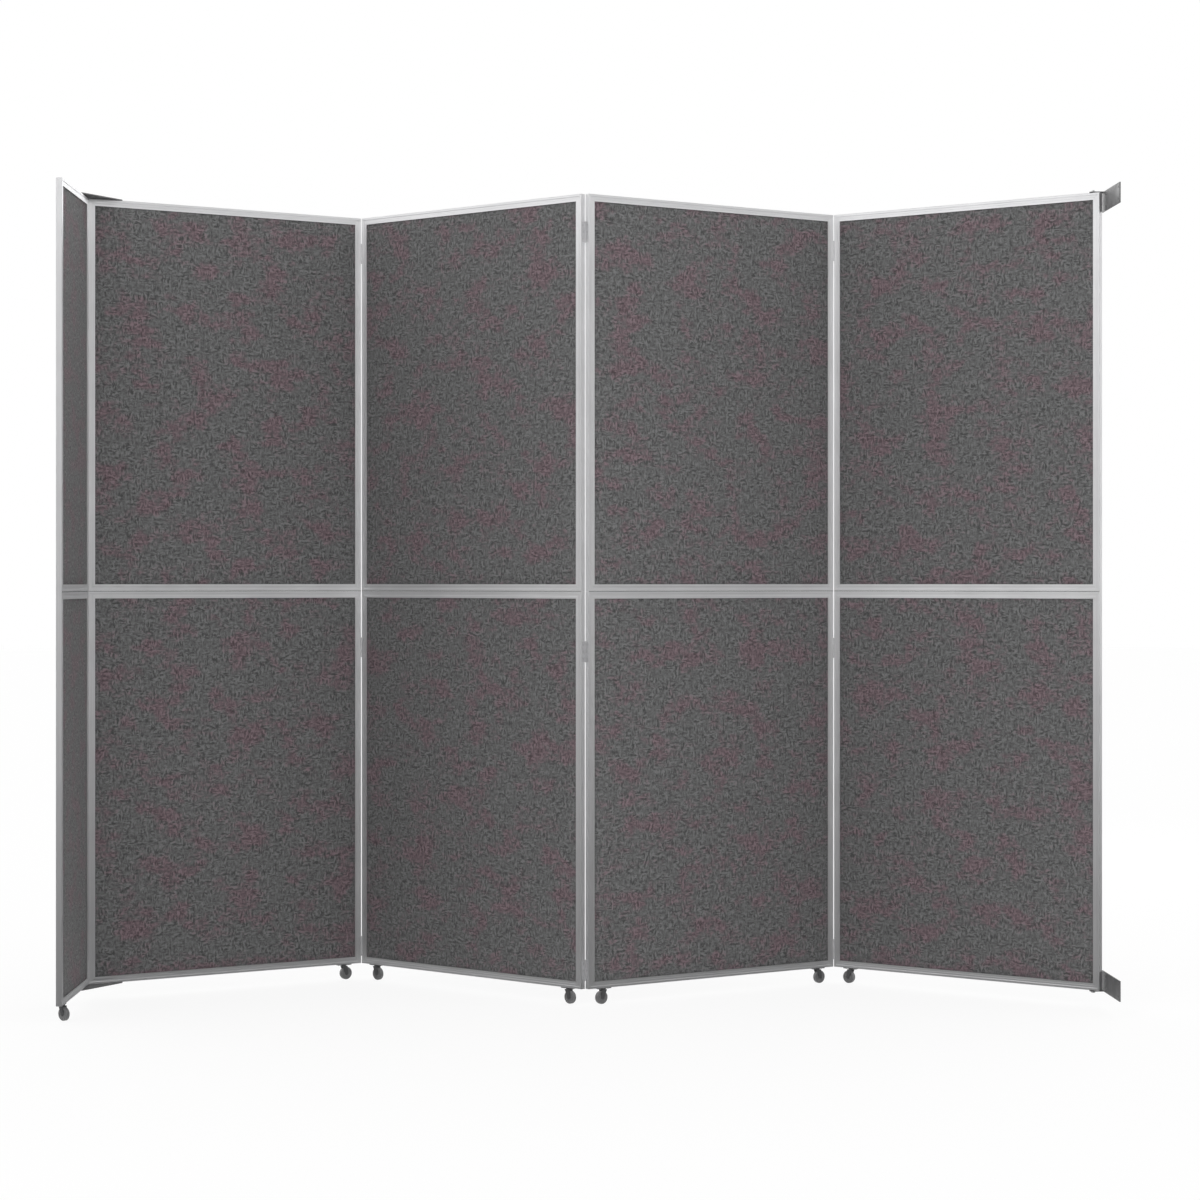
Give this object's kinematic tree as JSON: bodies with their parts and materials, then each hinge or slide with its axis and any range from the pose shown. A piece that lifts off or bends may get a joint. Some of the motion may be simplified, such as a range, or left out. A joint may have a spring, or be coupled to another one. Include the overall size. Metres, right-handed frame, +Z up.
{
  "type": "room divider",
  "caption": "Tall folding room divider on casters: fabric panels in aluminium frames hinged in a zigzag, a braced return wing at one end and wall pivot brackets at the other.",
  "frame": {"origin": "Middle of the floor box of the whole divider, at floor height where the casters stand.", "axes": "+X runs from the free end to the wall, +Y from the front to the back of the zigzag, +Z up."},
  "size_m": [3.892, 1.2226, 3.0768],
  "materials": {
    "frame_aluminium": "satin anodised extrusion",
    "panel_fabric": "charcoal heather woven fabric on a tackable board",
    "corner_key": "cast, unfinished",
    "fastener_steel": "zinc plated",
    "hinge_leaf": "satin anodised",
    "hinge_pin": "plain steel",
    "caster_plate": "satin dark grey",
    "caster_fork": "satin dark grey",
    "caster_wheel": "moulded dark grey tread",
    "bracket_paint": "satin dark grey powder coat"
  },
  "bodies": {
    "wall_mount": {"upper_wall_bracket": "bracket_paint", "lower_wall_bracket": "bracket_paint", "pivot_pins": "fastener_steel"},
    "wing_4": {"wing_4_lower_frame": "frame_aluminium", "wing_4_upper_frame": "frame_aluminium", "wing_4_lower_panel": "panel_fabric", "wing_4_upper_panel": "panel_fabric", "wing_4_corner_keys": "corner_key", "wing_4_fasteners": "fastener_steel", "wing_4_hinge_leaves": "hinge_leaf", "wing_4_caster_plate": "caster_plate", "hinge_3_pins": "hinge_pin"},
    "wing_3": {"wing_3_lower_frame": "frame_aluminium", "wing_3_upper_frame": "frame_aluminium", "wing_3_lower_panel": "panel_fabric", "wing_3_upper_panel": "panel_fabric", "wing_3_corner_keys": "corner_key", "wing_3_fasteners": "fastener_steel", "wing_3_hinge_leaves": "hinge_leaf", "wing_3_caster_plates": "caster_plate", "hinge_2_pins": "hinge_pin"},
    "wing_2": {"wing_2_lower_frame": "frame_aluminium", "wing_2_upper_frame": "frame_aluminium", "wing_2_lower_panel": "panel_fabric", "wing_2_upper_panel": "panel_fabric", "wing_2_corner_keys": "corner_key", "wing_2_fasteners": "fastener_steel", "wing_2_hinge_leaves": "hinge_leaf", "wing_2_caster_plates": "caster_plate", "hinge_1_pins": "hinge_pin"},
    "wing_1": {"wing_1_lower_frame": "frame_aluminium", "wing_1_upper_frame": "frame_aluminium", "wing_1_lower_panel": "panel_fabric", "wing_1_upper_panel": "panel_fabric", "wing_1_corner_keys": "corner_key", "wing_1_fasteners": "fastener_steel", "wing_1_hinge_leaves": "hinge_leaf", "wing_1_caster_plate": "caster_plate", "return_wing_lower_frame": "frame_aluminium", "return_wing_upper_frame": "frame_aluminium", "return_wing_lower_panel": "panel_fabric", "return_wing_upper_panel": "panel_fabric", "return_wing_corner_keys": "corner_key", "return_wing_caster_plate": "caster_plate", "corner_plates": "bracket_paint"},
    "fork_1": {"caster_1_fork": "caster_fork"},
    "wheel_1": {"caster_1_wheel": "caster_wheel"},
    "fork_2": {"caster_2_fork": "caster_fork"},
    "wheel_2": {"caster_2_wheel": "caster_wheel"},
    "fork_3": {"caster_3_fork": "caster_fork"},
    "wheel_3": {"caster_3_wheel": "caster_wheel"},
    "fork_4": {"caster_4_fork": "caster_fork"},
    "wheel_4": {"caster_4_wheel": "caster_wheel"},
    "fork_5": {"caster_5_fork": "caster_fork"},
    "wheel_5": {"caster_5_wheel": "caster_wheel"},
    "fork_6": {"caster_6_fork": "caster_fork"},
    "wheel_6": {"caster_6_wheel": "caster_wheel"},
    "fork_7": {"caster_7_fork": "caster_fork"},
    "wheel_7": {"caster_7_wheel": "caster_wheel"}
  },
  "joints": [
    {"name": "wall_pivot", "type": "hinge", "parent": "wall_mount", "child": "wing_4", "pos_m": [1.90302, -0.32134, 1.53365], "axis": [0, 0, 1], "range_deg": [-48, 80]},
    {"name": "hinge_3", "type": "hinge", "parent": "wing_4", "child": "wing_3", "pos_m": [1.00695, 0.40203, 1.52765], "axis": [0, 0, -1], "range_deg": [-99.5, 71.5]},
    {"name": "hinge_2", "type": "hinge", "parent": "wing_3", "child": "wing_2", "pos_m": [-0.00973, -0.20543, 1.52765], "axis": [0, 0, 1], "range_deg": [-94, 75.5]},
    {"name": "hinge_1", "type": "hinge", "parent": "wing_2", "child": "wing_1", "pos_m": [-0.88489, 0.59253, 1.52765], "axis": [0, 0, -1], "range_deg": [-90, 74.25]},
    {"name": "swivel_1", "type": "hinge", "parent": "wing_1", "child": "fork_1", "pos_m": [-1.93148, -0.52782, 0.05], "axis": [0, 0, 1], "continuous": true},
    {"name": "swivel_2", "type": "hinge", "parent": "wing_1", "child": "fork_2", "pos_m": [-0.955, 0.56456, 0.05], "axis": [0, 0, 1], "continuous": true},
    {"name": "swivel_3", "type": "hinge", "parent": "wing_2", "child": "fork_3", "pos_m": [-0.82269, 0.54978, 0.05], "axis": [0, 0, 1], "continuous": true},
    {"name": "swivel_4", "type": "hinge", "parent": "wing_2", "child": "fork_4", "pos_m": [-0.07193, -0.16267, 0.05], "axis": [0, 0, -1], "continuous": true},
    {"name": "swivel_5", "type": "hinge", "parent": "wing_3", "child": "fork_5", "pos_m": [0.05974, -0.17593, 0.05], "axis": [0, 0, 1], "continuous": true},
    {"name": "swivel_6", "type": "hinge", "parent": "wing_3", "child": "fork_6", "pos_m": [0.93747, 0.37254, 0.05], "axis": [0, 0, 1], "continuous": true},
    {"name": "swivel_7", "type": "hinge", "parent": "wing_4", "child": "fork_7", "pos_m": [1.07198, 0.36372, 0.05], "axis": [0, 0, -1], "continuous": true},
    {"name": "roll_1", "type": "hinge", "parent": "fork_1", "child": "wheel_1", "pos_m": [-1.92479, -0.53384, 0.025], "axis": [0.6691, 0.7431, 0], "continuous": true},
    {"name": "roll_2", "type": "hinge", "parent": "fork_2", "child": "wheel_2", "pos_m": [-0.94726, 0.56916, 0.025], "axis": [-0.5113, 0.8594, 0], "continuous": true},
    {"name": "roll_3", "type": "hinge", "parent": "fork_3", "child": "wheel_3", "pos_m": [-0.81617, 0.54358, 0.025], "axis": [0.6884, 0.7254, 0], "continuous": true},
    {"name": "roll_4", "type": "hinge", "parent": "fork_4", "child": "wheel_4", "pos_m": [-0.0654, -0.16887, 0.025], "axis": [0.6884, 0.7254, 0], "continuous": true},
    {"name": "roll_5", "type": "hinge", "parent": "fork_5", "child": "wheel_5", "pos_m": [0.05211, -0.1807, 0.025], "axis": [0.5299, -0.848, 0], "continuous": true},
    {"name": "roll_6", "type": "hinge", "parent": "fork_6", "child": "wheel_6", "pos_m": [0.9451, 0.37731, 0.025], "axis": [-0.5299, 0.848, 0], "continuous": true},
    {"name": "roll_7", "type": "hinge", "parent": "fork_7", "child": "wheel_7", "pos_m": [1.06503, 0.36945, 0.025], "axis": [-0.6361, -0.7716, 0], "continuous": true}
  ]
}
